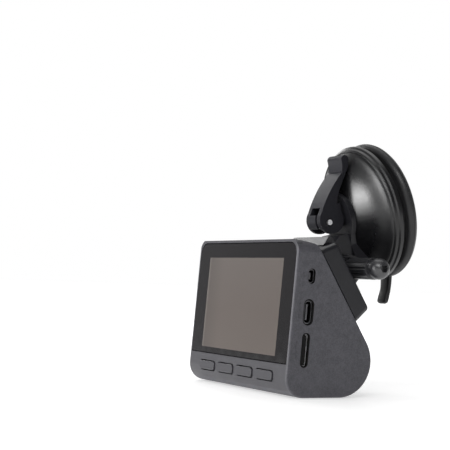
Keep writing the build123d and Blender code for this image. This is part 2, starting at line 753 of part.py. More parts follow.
with BuildPart() as suction_dome:
    add(dome_solid)
    # The hollow under the dome
    with BuildSketch(cup_section):
        with BuildLine():
            Polyline((0, 4.0), (23.6, 4.0), (23.6, 11.0))
            ThreePointArc((23.6, 11.0), (19.5, 14.2), (12.0, 15.8))
            Polyline((12.0, 15.8), (0, 15.8), (0, 4.0))
        make_face()
    revolve(axis=cup_axis, mode=Mode.SUBTRACT)
    with BuildSketch(cup_plane.offset(2)):
        Circle(STEM_RADIUS + FIT)
    extrude(amount=30, mode=Mode.SUBTRACT)
save(suction_dome, "suction_dome")

barrel_height = (CUP_Y - BAR_Y) * cup_cos + (CUP_Z - BAR_Z) * cup_sin
barrel_drop = (CUP_Y - BAR_Y) * cup_sin - (CUP_Z - BAR_Z) * cup_cos
neck_side = Plane((neck_x[0], CUP_Y, CUP_Z), x_dir=(0, -cup_sin, cup_cos), z_dir=(1, 0, 0))

with BuildPart() as neck_arm:
    extrude(neck_outline(12.0), amount=HUB_TOP - 12.0)
    # Web from the plate to the barrel; local X runs up the cup and local Y towards the screen
    with BuildSketch(neck_side):
        with BuildLine():
            Polyline(
                (-6.2, HUB_FLOOR), (-6.2, 25.4), (-9.0, 28.6), (barrel_drop, 32.0),
                (barrel_drop - 5.5, 21.5), (barrel_drop + 3.3, HUB_FLOOR), close=True,
            )
        make_face()
    extrude(amount=neck_x[1] - neck_x[0])
    # Toothed barrel around the bar
    with BuildSketch(side_plane(neck_x[0])):
        with Locations((BAR_Y, BAR_Z)):
            Circle(BARREL_RADIUS)
            with PolarLocations(BARREL_RADIUS, 22):
                Circle(0.5)
    extrude(amount=neck_x[1] - neck_x[0])
    with BuildSketch(side_plane(neck_x[0] - 20)):
        with Locations((BAR_Y, BAR_Z)):
            Circle(BAR_RADIUS + FIT)
    extrude(amount=60, mode=Mode.SUBTRACT)
    # Room for the lugs and washers on both sides of the barrel
    for x, reach in ((neck_x[0], -20), (neck_x[1], 20)):
        with BuildSketch(side_plane(x)):
            with Locations((BAR_Y, BAR_Z)):
                Circle(LUG_RADIUS + 2 * GAP)
        extrude(amount=reach, mode=Mode.SUBTRACT)
    with BuildSketch(cup_plane.offset(2)):
        Circle(STEM_RADIUS + 0.8)
    extrude(amount=20, mode=Mode.SUBTRACT)
    add(dome_solid, mode=Mode.SUBTRACT)
save(neck_arm, "neck_arm")


def pull_tab():
    """The tab that lifts the pad's edge: it hangs from the rim and curls towards the camera."""
    with BuildPart() as tab:
        with BuildSketch(side_plane(CUP_X - TAB_WIDTH / 2)):
            with BuildLine():
                Line((46.1, 50.0), (48.8, 50.0))
                ThreePointArc((48.8, 50.0), (48.8, 43.8), (47.2, 37.4))
                ThreePointArc((47.2, 37.4), (45.8, 36.2), (44.6, 37.6))
                ThreePointArc((44.6, 37.6), (46.1, 43.8), (46.1, 50.0))
            make_face()
        extrude(amount=TAB_WIDTH)
        with BuildSketch(Plane.XZ.offset(-60)):
            with Locations((CUP_X, 45.9)):
                SlotOverall(19.6, TAB_WIDTH, rotation=90)
        extrude(amount=40, mode=Mode.INTERSECT)
        with BuildSketch(Plane.XZ.offset(-60)):
            with Locations((CUP_X, 39.4)):
                Circle(0.9)
        extrude(amount=40, mode=Mode.SUBTRACT)
    return tab.part


tab = pull_tab()

with BuildPart() as rubber_pad:
    with BuildSketch(cup_section):
        with BuildLine():
            Polyline((0, 1.2), (17.0, 1.2), (18.4, 0), (27.0, 0))
            ThreePointArc((27.0, 0), (PAD_RADIUS, 2.2), (27.0, 4.5))
            Polyline((27.0, 4.5), (20.5, 4.5), (19.0, 3.2), (0, 3.2), (0, 1.2))
        make_face()
    revolve(axis=cup_axis)
    add(tab)
save(rubber_pad, "rubber_pad")

# ---------------------------------------------------------------- stem, spring, pin and lever
with BuildPart() as pull_stem:
    with BuildSketch(cup_plane.offset(5.8)):
        Circle(11.0)
    extrude(amount=1.6)
    with BuildSketch(cup_plane.offset(7.4)):
        Circle(STEM_RADIUS)
    extrude(amount=16.0)
    # Flat-sided eye around the lever pin
    with BuildSketch(cup_plane.offset(23.0)):
        Rectangle(EYE_WIDTH, 5.2)
    extrude(amount=PIN_HEIGHT - 23.0)
    with BuildSketch(side_plane(CUP_X - EYE_WIDTH / 2)):
        with Locations((pin_y, pin_z)):
            Circle(2.6)
    extrude(amount=EYE_WIDTH)
    with BuildSketch(side_plane(CUP_X - 6)):
        with Locations((pin_y, pin_z)):
            Circle(PIN_RADIUS)
    extrude(amount=12, mode=Mode.SUBTRACT)
save(pull_stem, "pull_stem")

with BuildPart() as lever_pin:
    with BuildSketch(side_plane(CUP_X - LEVER_WIDTH / 2)):
        with Locations((pin_y, pin_z)):
            Circle(PIN_RADIUS)
    extrude(amount=LEVER_WIDTH + 0.3)
save(lever_pin, "lever_pin")

spring_bottom, spring_top, spring_turns = 8.1, 15.0, 5
with BuildPart() as stem_spring:
    with BuildLine() as coil:
        Helix(pitch=(spring_top - spring_bottom) / spring_turns, height=spring_top - spring_bottom,
              radius=5.0, center=cup_plane.offset(spring_bottom).origin, direction=cup_plane.z_dir)
    with BuildSketch(Plane(coil.line @ 0, z_dir=coil.line % 0)):
        Circle(0.45)
    sweep()
save(stem_spring, "stem_spring")

with BuildPart() as cam_lever:
    with BuildSketch(side_plane(CUP_X - LEVER_WIDTH / 2)):
        with Locations((lobe_y, lobe_z)):
            Circle(LOBE_RADIUS)
        with BuildLine():
            ThreePointArc((lobe_y - LOBE_RADIUS, lobe_z), (14.3, 80.4), (20.5, 90.3))
            ThreePointArc((20.5, 90.3), (20.6, 93.0), (20.0, 95.6))
            ThreePointArc((20.0, 95.6), (20.5, 97.1), (21.9, 97.7))
            ThreePointArc((21.9, 97.7), (23.1, 96.9), (23.4, 95.2))
            ThreePointArc((23.4, 95.2), (23.3, 93.0), (22.6, 90.9))
            Polyline(
                (22.6, 90.9), (20.0, 84.0), (18.8, 80.4), (18.7, 77.5), (20.2, 77.5),
                (lobe_y + LOBE_RADIUS - 0.1, lobe_z), (lobe_y - LOBE_RADIUS, lobe_z),
            )
        make_face()
    extrude(amount=LEVER_WIDTH)
    # Crease across the finger tip
    with BuildSketch(side_plane(CUP_X - LEVER_WIDTH / 2)):
        with Locations((20.5, 90.4)):
            Circle(0.35)
    extrude(amount=LEVER_WIDTH, mode=Mode.SUBTRACT)
    # Channel between the two cheeks
    with BuildSketch(side_plane(CUP_X - LEVER_WIDTH / 2 + LEVER_WALL)):
        with BuildLine():
            ThreePointArc((lobe_y - LOBE_RADIUS + LEVER_WALL, lobe_z), (16.0, 79.9), (20.8, 87.5))
            Polyline(
                (20.8, 87.5), (30.0, 83.0), (30.0, 60.0),
                (lobe_y - LOBE_RADIUS + LEVER_WALL, 60.0), (lobe_y - LOBE_RADIUS + LEVER_WALL, lobe_z),
            )
        make_face()
    extrude(amount=LEVER_WIDTH - 2 * LEVER_WALL, mode=Mode.SUBTRACT)
    # Window and slot in the back of the channel
    with BuildSketch(Plane.XZ.offset(-5)):
        with Locations((CUP_X - 0.2, 73.7)):
            Rectangle(6.2, 3.1)
        with Locations((CUP_X + 2.3, 67.8)):
            Rectangle(1.2, 13.4)
    extrude(amount=-9.5, mode=Mode.SUBTRACT)
    with BuildSketch(side_plane(CUP_X - 10)):
        with Locations((pin_y, pin_z)):
            Circle(PIN_RADIUS + FIT)
    extrude(amount=20, mode=Mode.SUBTRACT)
    # Recess around the pin's visible end
    with BuildSketch(side_plane(CUP_X + LEVER_WIDTH / 2)):
        with Locations((pin_y, pin_z)):
            Circle(PIN_RADIUS + 0.45)
    extrude(amount=-0.6, mode=Mode.SUBTRACT)
save(cam_lever, "cam_lever")
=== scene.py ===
import json
import math

import bmesh
import bpy
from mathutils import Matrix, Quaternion, Vector


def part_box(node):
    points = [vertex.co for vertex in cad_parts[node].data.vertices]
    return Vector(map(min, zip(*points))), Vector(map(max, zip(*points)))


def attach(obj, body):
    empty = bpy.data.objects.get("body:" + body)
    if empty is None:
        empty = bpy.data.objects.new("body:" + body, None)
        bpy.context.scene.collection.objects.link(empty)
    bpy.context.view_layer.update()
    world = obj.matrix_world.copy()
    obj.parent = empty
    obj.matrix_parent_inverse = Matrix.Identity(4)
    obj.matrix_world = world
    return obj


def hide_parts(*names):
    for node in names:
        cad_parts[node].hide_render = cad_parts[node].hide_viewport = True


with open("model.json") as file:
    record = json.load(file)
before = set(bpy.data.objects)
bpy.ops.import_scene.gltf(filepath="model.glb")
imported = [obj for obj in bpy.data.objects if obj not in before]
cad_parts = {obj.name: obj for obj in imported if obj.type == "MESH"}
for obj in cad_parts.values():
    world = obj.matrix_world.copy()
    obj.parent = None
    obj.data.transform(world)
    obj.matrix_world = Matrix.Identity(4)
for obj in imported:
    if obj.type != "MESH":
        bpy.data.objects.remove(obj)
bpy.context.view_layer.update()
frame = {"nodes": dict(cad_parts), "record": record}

nodes = frame["nodes"]
record = frame["record"]
MM = 0.001

# ------------------------------------------------------------------ camera
CAMERA_PLACE = Vector((0.4838, -0.2613, 0.0445))
CAMERA_TARGET = Vector((0.0, -0.0221, 0.0669))
CAMERA_ROLL = math.radians(2.03)
CAMERA_LENS = 105.0

camera_data = bpy.data.cameras.new("camera")
camera_data.lens = CAMERA_LENS
camera_data.sensor_width = 36.0
camera_data.clip_start = 0.01
camera = bpy.data.objects.new("camera", camera_data)
bpy.context.scene.collection.objects.link(camera)
camera.location = CAMERA_PLACE
camera.rotation_mode = "QUATERNION"
camera.rotation_quaternion = (
    (CAMERA_TARGET - CAMERA_PLACE).to_track_quat("-Z", "Y") @ Quaternion((0, 0, 1), CAMERA_ROLL)
)
bpy.context.scene.camera = camera
bpy.context.scene.view_settings.view_transform = "Standard"

# ------------------------------------------------------------------ lights, floor and backdrop
OBJECT_MIDDLE = Vector((0.01, 0.015, 0.05))


def softbox(name, place, size, power, target=OBJECT_MIDDLE):
    """A rectangular area light that faces its target."""
    data = bpy.data.lights.new(name, "AREA")
    data.shape = "RECTANGLE"
    data.size, data.size_y = size
    data.energy = power
    light = bpy.data.objects.new(name, data)
    bpy.context.scene.collection.objects.link(light)
    light.location = place
    light.rotation_mode = "QUATERNION"
    light.rotation_quaternion = (Vector(target) - Vector(place)).to_track_quat("-Z", "Y")


DOME_MIDDLE = Vector((0.028, 0.025, 0.078))
softbox("dome_softbox", (-0.24, -0.95, 0.18), (0.66, 0.34), 4.3, DOME_MIDDLE)
softbox("dome_core", (-0.25, -0.93, 0.11), (0.44, 0.24), 2.6, DOME_MIDDLE)
softbox("left_softbox", (-0.90, 0.02, 0.43), (0.38, 0.22), 1.4)
softbox("edge_softbox", (0.34, -0.62, 0.66), (0.22, 0.22), 0.8)
softbox("side_softbox", (0.80, -0.55, 0.75), (0.5, 0.4), 4.2)
softbox("top_softbox", (-0.25, 0.15, 1.1), (0.9, 0.9), 3.2)

BACKDROP = (CAMERA_TARGET - CAMERA_PLACE).normalized()


def fill_ramp(ramp, stops):
    """Sets a colour ramp's stops from (position, (r, g, b)) pairs in rising order."""
    elements = ramp.color_ramp.elements
    for position, _ in stops[1:-1]:
        elements.new(position)
    elements[0].position, elements[-1].position = stops[0][0], stops[-1][0]
    for element, (_, colour) in zip(elements, stops):
        element.color = (*colour, 1.0)


# The colour sockets of a Mix node.
MIX_A, MIX_B, MIX_RESULT = 6, 7, 2
# How white the studio is by direction, from behind the photographer to behind the object.
STUDIO_SHADES = ((0.0, 0.07), (0.45, 0.10), (0.68, 0.22), (0.84, 0.50), (1.0, 1.0))

world = bpy.data.worlds.new("studio")
bpy.context.scene.world = world
world.use_nodes = True
world_nodes, world_links = world.node_tree.nodes, world.node_tree.links
background = world_nodes["Background"]
direction = world_nodes.new("ShaderNodeTexCoord")
towards = world_nodes.new("ShaderNodeVectorMath")
towards.operation = "DOT_PRODUCT"
towards.inputs[1].default_value = BACKDROP
world_links.new(direction.outputs["Generated"], towards.inputs[0])
studio_ramp = world_nodes.new("ShaderNodeValToRGB")
fill_ramp(studio_ramp, [(position, (shade,) * 3) for position, shade in STUDIO_SHADES])
half_turn = world_nodes.new("ShaderNodeMapRange")
half_turn.inputs["From Min"].default_value = -1.0
world_links.new(towards.outputs["Value"], half_turn.inputs["Value"])
world_links.new(half_turn.outputs["Result"], studio_ramp.inputs["Fac"])
ray = world_nodes.new("ShaderNodeLightPath")
# What the camera sees directly is plain white.
seen = world_nodes.new("ShaderNodeMix")
seen.data_type = "RGBA"
seen.inputs[MIX_B].default_value = (1.0, 1.0, 1.0, 1.0)
world_links.new(ray.outputs["Is Camera Ray"], seen.inputs["Factor"])
world_links.new(studio_ramp.outputs["Color"], seen.inputs[MIX_A])
world_links.new(seen.outputs[MIX_RESULT], background.inputs["Color"])

FLOOR_HALF = 6.0
FLOOR_DROP = 0.0002


def studio_floor():
    """A wide table top just below the object."""
    mesh = bmesh.new()
    corners = [mesh.verts.new((x * FLOOR_HALF, y * FLOOR_HALF, -FLOOR_DROP))
               for x, y in ((-1, -1), (1, -1), (1, 1), (-1, 1))]
    mesh.faces.new(corners)
    data = bpy.data.meshes.new("floor")
    mesh.to_mesh(data)
    mesh.free()
    made = bpy.data.objects.new("floor", data)
    bpy.context.scene.collection.objects.link(made)
    return made


floor = studio_floor()


# ------------------------------------------------------------------ the suction cup's own frame
# Across is +X, and out points from the windscreen to the camera.
face = next(m for m in record["mounts"] if m["name"] == "windscreen_face")
pad_low, pad_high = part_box("rubber_pad")
cup_out = -Vector(face["axis"])
cup_across = Vector((1, 0, 0))
cup_centre = Vector(((pad_low.x + pad_high.x) / 2, face["pos_m"][1], face["pos_m"][2]))
cup_x = cup_centre.x / MM


# ------------------------------------------------------------------ materials
class Paint:
    """A Principled material and short calls for the nodes that feed it."""

    def __init__(self, name, roughness=0.5, metallic=0.0, **sockets):
        self.material = bpy.data.materials.new(name)
        self.material.use_nodes = True
        self.tree = self.material.node_tree
        self.shader = self.tree.nodes["Principled BSDF"]
        self.shader.inputs["Roughness"].default_value = roughness
        self.shader.inputs["Metallic"].default_value = metallic
        for socket, value in sockets.items():
            self.shader.inputs[socket.replace("_", " ")].default_value = value
        self.place = self.tree.nodes.new("ShaderNodeTexCoord").outputs["Object"]

    def link(self, a, b):
        self.tree.links.new(a, b)

    def node(self, kind, **values):
        made = self.tree.nodes.new(kind)
        for key, value in values.items():
            if key in made.inputs:
                made.inputs[key].default_value = value
            else:
                setattr(made, key, value)
        return made

    def noise(self, cell, detail=2.0, stretch=None):
        """A noise whose features are about cell millimetres wide."""
        made = self.node("ShaderNodeTexNoise", Scale=1.0 / (cell * MM), Detail=detail)
        place = self.place
        if stretch:
            mapping = self.node("ShaderNodeMapping", Scale=stretch)
            self.link(place, mapping.inputs["Vector"])
            place = mapping.outputs["Vector"]
        self.link(place, made.inputs["Vector"])
        return made.outputs["Fac"]

    def ramp(self, factor, stops):
        """A colour ramp of (position, (r, g, b)) stops."""
        made = self.tree.nodes.new("ShaderNodeValToRGB")
        fill_ramp(made, stops)
        self.link(factor, made.inputs["Fac"])
        return made.outputs["Color"]

    def span(self, value, low, high, start=0.0, end=1.0, smooth=False):
        """Maps value from start..end to low..high."""
        made = self.node("ShaderNodeMapRange")
        made.interpolation_type = "SMOOTHSTEP" if smooth else "LINEAR"
        for key, number in (("From Min", start), ("From Max", end), ("To Min", low), ("To Max", high)):
            made.inputs[key].default_value = number
        self.link(value, made.inputs["Value"])
        return made.outputs["Result"]

    def math(self, operation, a, b=None):
        made = self.tree.nodes.new("ShaderNodeMath")
        made.operation = operation
        for socket, value in zip(made.inputs, (a, b)):
            if value is None:
                continue
            if isinstance(value, (int, float)):
                socket.default_value = value
            else:
                self.link(value, socket)
        return made.outputs[0]

    def mix(self, factor, a, b):
        """Mixes two colours; each is a socket or an (r, g, b)."""
        made = self.tree.nodes.new("ShaderNodeMix")
        made.data_type = "RGBA"
        self.link(factor, made.inputs["Factor"])
        for socket, value in ((made.inputs[MIX_A], a), (made.inputs[MIX_B], b)):
            if isinstance(value, tuple):
                socket.default_value = (*value, 1.0)
            else:
                self.link(value, socket)
        return made.outputs[MIX_RESULT]

    def bump(self, height, depth, strength=1.0, below=None):
        """A bump of depth millimetres; below is the normal of another bump."""
        made = self.node("ShaderNodeBump", Strength=strength, Distance=depth * MM)
        self.link(height, made.inputs["Height"])
        if below is not None:
            self.link(below, made.inputs["Normal"])
        return made.outputs["Normal"]

    def colour(self, socket):
        self.link(socket, self.shader.inputs["Base Color"])

    def rough(self, socket):
        self.link(socket, self.shader.inputs["Roughness"])

    def normal(self, socket):
        self.link(socket, self.shader.inputs["Normal"])

    def split(self):
        made = self.tree.nodes.new("ShaderNodeSeparateXYZ")
        self.link(self.place, made.inputs[0])
        return made.outputs


def shade(colour, amount):
    return tuple(max(0.0, c * amount) for c in colour)


def moulded(name, colour, roughness, grain, depth, blotch, smooth_above=None, **sockets):
    """Moulded plastic with a fine spark-eroded grain and slight flow marks.

    The grain's size and depth are in millimetres; above the height smooth_above the face is smoother.
    """
    p = Paint(name, roughness, **sockets)
    fine, coarse, patch = p.noise(grain, 3), p.noise(grain * 3.6, 4), p.noise(14, 3)
    speckle = p.math("ADD", p.math("MULTIPLY", fine, 0.45), p.math("MULTIPLY", coarse, 0.30))
    p.colour(p.ramp(p.math("ADD", p.math("MULTIPLY", patch, 0.25), speckle),
                    [(0.36, shade(colour, 1 - blotch)), (0.5, colour), (0.64, shade(colour, 1 + blotch))]))
    rough = p.span(patch, roughness - 0.05, roughness + 0.06, 0.3, 0.7)
    if smooth_above is not None:
        height = p.split()[2]
        start, end = smooth_above * MM, (smooth_above + 0.2) * MM
        rough = p.math("MULTIPLY", rough, p.span(height, 1.0, 0.45, start, end))
    p.rough(rough)
    p.normal(p.bump(fine, depth, 1.0, p.bump(coarse, depth * 2.0, 0.8)))
    return p.material


def polished(name, colour, roughness, **sockets):
    """Glossy moulded plastic: faint sink marks, wipe marks and dust in the gloss."""
    p = Paint(name, roughness, **sockets)
    wave, wipe, dust = p.noise(22, 1), p.noise(2.2, 3), p.noise(0.25, 2)
    p.colour(p.ramp(dust, [(0.0, colour), (0.66, colour), (0.8, shade(colour, 2.2))]))
    p.rough(p.span(wipe, roughness * 0.92, roughness * 1.12, 0.3, 0.75))
    p.normal(p.bump(wave, 0.03, 0.3, p.bump(p.noise(0.8, 2), 0.0012, 0.5)))
    return p.material


def metal(name, colour, roughness, along=(1.0, 0.05, 1.0)):
    """Rolled or turned metal with fine lines and slight stains."""
    p = Paint(name, roughness, 1.0)
    lines, stain = p.noise(0.25, 4, along), p.noise(3.5, 3)
    p.colour(p.ramp(stain, [(0.2, shade(colour, 0.8)), (0.6, colour), (0.9, shade(colour, 1.12))]))
    p.rough(p.span(lines, roughness * 0.75, roughness * 1.4, 0.3, 0.7))
    p.normal(p.bump(lines, 0.004, 0.6))
    return p.material


def rubber(name, colour, roughness):
    """Silicone rubber: a soft skin with fine dust and faint moulding lines."""
    p = Paint(name, roughness, Sheen_Weight=0.15, Sheen_Roughness=0.4)
    dust, patch = p.noise(0.3, 3), p.noise(9, 3)
    p.colour(p.ramp(dust, [(0.3, colour), (0.62, shade(colour, 1.3)), (0.85, shade(colour, 2.6))]))
    p.rough(p.span(patch, roughness - 0.06, roughness + 0.1, 0.3, 0.7))
    p.normal(p.bump(dust, 0.01, 0.7, p.bump(p.noise(1.6, 3), 0.02, 0.4)))
    return p.material


CHARCOAL = (0.072, 0.071, 0.082)
FRAME_GREY = (0.036, 0.035, 0.042)
SATIN_BLACK = (0.011, 0.011, 0.014)
GLOSS_BLACK = (0.007, 0.007, 0.008)

housing = moulded("housing_charcoal", CHARCOAL, 0.52, 0.55, 0.035, 0.30, smooth_above=60.6)
frame_grey = moulded("frame_satin", FRAME_GREY, 0.42, 0.5, 0.010, 0.18)
button_grey = moulded("button_satin", shade(FRAME_GREY, 0.95), 0.42, 0.3, 0.006, 0.08)
block_black = moulded("mount_satin_black", SATIN_BLACK, 0.34, 0.4, 0.008, 0.15, Specular_IOR_Level=0.6)
neck_black = moulded("neck_satin_black", (0.012, 0.012, 0.015), 0.38, 0.5, 0.008, 0.15)
lever_grey = moulded("lever_satin", (0.018, 0.018, 0.022), 0.42, 0.35, 0.009, 0.12, Specular_IOR_Level=0.12)
lens_black = moulded("lens_matte_black", (0.014, 0.014, 0.016), 0.55, 0.3, 0.008, 0.1)
inner_black = moulded("inner_matte_black", (0.012, 0.012, 0.013), 0.62, 0.4, 0.012, 0.1)
# Near-black for the liners that paint the shade inside the sockets' slots.
shade_liner_black = moulded("shade_liner_black", (0.003, 0.003, 0.003), 0.60, 0.3, 0.004, 0.1, Specular_IOR_Level=0.15)
card_black = moulded("card_matte", (0.005, 0.005, 0.005), 0.55, 0.3, 0.004, 0.1, Specular_IOR_Level=0.2)
bar_gloss = polished("bar_gloss_black", GLOSS_BLACK, 0.28, Specular_IOR_Level=0.6)
knob_gloss = polished("knob_gloss_black", shade(GLOSS_BLACK, 3.4), 0.34, Specular_IOR_Level=1.0)
trim_gloss = polished("trim_ring_satin", (0.03, 0.03, 0.034), 0.22)
window_gloss = polished("status_window", (0.012, 0.012, 0.016), 0.12)
capacitor_gloss = polished("capacitor_sleeve", (0.01, 0.02, 0.09), 0.3)
speaker_black = moulded("speaker_cone", (0.02, 0.02, 0.02), 0.6, 0.5, 0.01, 0.2)
ceramic = moulded("antenna_ceramic", (0.56, 0.50, 0.40), 0.5, 0.4, 0.008, 0.08)
steel = metal("zinc_steel", (0.56, 0.56, 0.58), 0.32)
nickel = metal("nickel_shell", (0.16, 0.16, 0.17), 0.30)
pin_steel = metal("pin_polished", (0.90, 0.90, 0.92), 0.42)
tinned = metal("tinned_card_cage", (0.80, 0.80, 0.82), 0.60)
aluminium = metal("aluminium_plate", (0.72, 0.72, 0.75), 0.38, (0.05, 1.0, 1.0))
silicone = rubber("silicone_black", (0.010, 0.010, 0.011), 0.42)
foam = rubber("foam_tape_black", (0.012, 0.012, 0.012), 0.85)


def board_green():
    """Green solder mask over copper tracks, with pads."""
    p = Paint("board_green", 0.35)
    grid = p.node("ShaderNodeTexBrick", Scale=1.0 / (6.0 * MM))
    grid.inputs["Mortar Size"].default_value = 0.03
    grid.inputs["Color1"].default_value = (0.006, 0.075, 0.026, 1)
    grid.inputs["Color2"].default_value = (0.004, 0.055, 0.020, 1)
    grid.inputs["Mortar"].default_value = (0.012, 0.14, 0.05, 1)
    p.link(p.place, grid.inputs["Vector"])
    cells = p.node("ShaderNodeTexVoronoi", Scale=1.0 / (2.4 * MM))
    p.link(p.place, cells.inputs["Vector"])
    pads = p.span(cells.outputs["Distance"], 1.0, 0.0, 0.10, 0.13)
    p.colour(p.mix(pads, grid.outputs["Color"], (0.62, 0.60, 0.55)))
    p.normal(p.bump(grid.outputs["Fac"], 0.03, 0.6))
    return p.material


# The display's opening in the glass's black border: half its width, and its lower and upper edges.
HALF_SCREEN = 33.1
SCREEN_LOW, SCREEN_HIGH = 15.4, 53.8
PANEL_SHADOW = (0.05, 0.045, 0.042)


def cover_glass():
    """Cover glass with a black printed border around the switched-off display, coloured with painted
    reflection, highlight and shade.
    """
    p = Paint("cover_glass", 0.10, Specular_IOR_Level=0.27)
    x, _, z = p.split()
    side = HALF_SCREEN * MM
    edge = 0.10 * MM
    inside = p.math("MULTIPLY", p.span(p.math("ABSOLUTE", x), 1.0, 0.0, side - edge, side + edge),
                    p.math("MULTIPLY", p.span(z, 0.0, 1.0, SCREEN_LOW * MM - edge, SCREEN_LOW * MM + edge),
                           p.span(z, 1.0, 0.0, SCREEN_HIGH * MM - edge, SCREEN_HIGH * MM + edge)))
    # The switched-off display's colour is a painted reflection that varies with height.
    soft = p.noise(26, 2)
    rise = p.span(z, 0.0, 1.0, SCREEN_LOW * MM, SCREEN_HIGH * MM)
    glow = p.ramp(p.math("ADD", p.math("MULTIPLY", rise, 0.75), p.math("MULTIPLY", soft, 0.25)),
                  [(0.0, (0.112, 0.095, 0.085)), (0.45, (0.103, 0.087, 0.079)), (1.0, (0.105, 0.092, 0.085))])
    # A painted highlight along the display's left edge.
    lit_edge = p.span(x, 1.0, 0.0, -side + 0.9 * MM, -side + 1.3 * MM)
    panel = p.mix(p.math("MULTIPLY", lit_edge, 0.45), glow, (0.22, 0.20, 0.185))
    # Painted shade spreading in from the display's left side.
    shadow = p.span(x, 0.30, 0.0, -side + 1.3 * MM, -side + 16 * MM, smooth=True)
    panel = p.mix(shadow, panel, PANEL_SHADOW)
    cell = p.noise(0.22, 0)
    panel = p.mix(p.span(cell, 0.0, 0.10), panel, PANEL_SHADOW)
    p.colour(p.mix(inside, (0.0062, 0.0054, 0.0064), panel))
    p.rough(p.span(p.noise(5, 4), 0.07, 0.16, 0.3, 0.8))
    p.normal(p.bump(p.noise(30, 1), 0.02, 0.3))
    return p.material


# Radii from the cup's axis between which the dome's gloss turns satin.
SKIRT_START, SKIRT_END = 18.0, 22.0


def dome_paint():
    """Black plastic, glossy over the dome and a little duller on the skirt round it."""
    p = Paint("dome_gloss_black", 0.24, Specular_IOR_Level=0.55)
    arm = p.node("ShaderNodeVectorMath", operation="SUBTRACT")
    arm.inputs[1].default_value = cup_centre
    p.link(p.place, arm.inputs[0])
    off_axis = p.node("ShaderNodeVectorMath", operation="CROSS_PRODUCT")
    off_axis.inputs[1].default_value = cup_out
    p.link(arm.outputs["Vector"], off_axis.inputs[0])
    radius = p.node("ShaderNodeVectorMath", operation="LENGTH")
    p.link(off_axis.outputs["Vector"], radius.inputs[0])
    skirt = p.span(radius.outputs["Value"], 0.0, 1.0, SKIRT_START * MM, SKIRT_END * MM, smooth=True)
    wave, wipe, dust = p.noise(22, 1), p.noise(2.2, 3), p.noise(0.25, 2)
    black = shade(GLOSS_BLACK, 0.7)
    p.colour(p.ramp(dust, [(0.0, black), (0.66, black), (0.8, shade(black, 2.2))]))
    p.rough(p.math("ADD", p.span(wipe, 0.22, 0.27, 0.3, 0.75), p.math("MULTIPLY", skirt, 0.10)))
    p.normal(p.bump(wave, 0.03, 0.3, p.bump(p.noise(0.8, 2), 0.0012, 0.5)))
    return p.material


def lens_glass():
    """Coated lens: clear with a violet to green sheen towards its rim."""
    p = Paint("coated_lens", 0.02, Transmission_Weight=0.85, IOR=1.5)
    facing = p.node("ShaderNodeLayerWeight", Blend=0.4).outputs["Facing"]
    smear = p.noise(1.2, 2)
    p.colour(p.ramp(p.math("ADD", facing, p.math("MULTIPLY", smear, 0.15)),
                    [(0.0, (0.10, 0.16, 0.34)), (0.4, (0.24, 0.12, 0.34)), (0.85, (0.10, 0.30, 0.20))]))
    p.rough(p.span(smear, 0.01, 0.05))
    return p.material


green = board_green()
glass = cover_glass()
lens_clear = lens_glass()
dome_gloss = dome_paint()

floor_paint = Paint("table_white", 0.6, Emission_Color=(1.0, 1.0, 1.0, 1.0))
reach = floor_paint.node("ShaderNodeVectorMath", operation="LENGTH")
floor_paint.link(floor_paint.place, reach.inputs[0])
# The table glows like a light table, most in a pool that the suction cup's dome mirrors.
POOL_MIDDLE = (-0.20, -0.52, 0.0)
pool = floor_paint.node("ShaderNodeVectorMath", operation="DISTANCE")
pool.inputs[1].default_value = POOL_MIDDLE
floor_paint.link(floor_paint.place, pool.inputs[0])
table_glow = floor_paint.span(reach.outputs["Value"], 0.45, 0.95, 0.10, 0.8, smooth=True)
pool_glow = floor_paint.span(pool.outputs["Value"], 4.6, 0.0, 0.08, 0.40, smooth=True)
floor_glow = floor_paint.math("ADD", table_glow, pool_glow)
floor_paint.link(floor_glow, floor_paint.shader.inputs["Emission Strength"])
paper = [(0.3, (0.80, 0.80, 0.80)), (0.7, (0.84, 0.84, 0.84))]
floor_paint.colour(floor_paint.ramp(floor_paint.noise(3.0, 3), paper))
floor.data.materials.append(floor_paint.material)

FINISHES = {
    housing: ("main_shell", "lens_housing", "socket_end_cap", "lens_end_cap"),
    frame_grey: ("rear_frame",),
    glass: ("display_glass",),
    inner_black: ("display_panel", "microphone"),
    button_grey: ("button_1", "button_2", "button_3", "button_4"),
    green: ("button_board", "main_board", "sensor_board"),
    steel: ("tact_switches", "board_screws", "clamp_nut", "clamp_screw", "stem_spring"),
    nickel: ("usb_socket", "rear_camera_socket"),
    tinned: ("card_socket",),
    card_black: ("memory_card",),
    aluminium: ("heat_spreader",),
    capacitor_gloss: ("supercapacitors",),
    speaker_black: ("speaker",),
    ceramic: ("satellite_antenna",),
    window_gloss: ("status_light",),
    lens_black: ("lens_barrel",),
    lens_clear: ("front_lens",),
    trim_gloss: ("lens_trim_ring",),
    block_black: ("base_plate", "mount_base"),
    bar_gloss: ("pivot_bar",),
    knob_gloss: ("tightening_knob",),
    dome_gloss: ("suction_dome",),
    neck_black: ("neck_arm", "pull_stem"),
    pin_steel: ("lever_pin",),
    lever_grey: ("cam_lever",),
    silicone: ("rubber_pad", "friction_washers"),
    foam: ("adhesive_pad",),
}
for material, names in FINISHES.items():
    for name in names:
        nodes[name].data.materials.clear()
        nodes[name].data.materials.append(material)


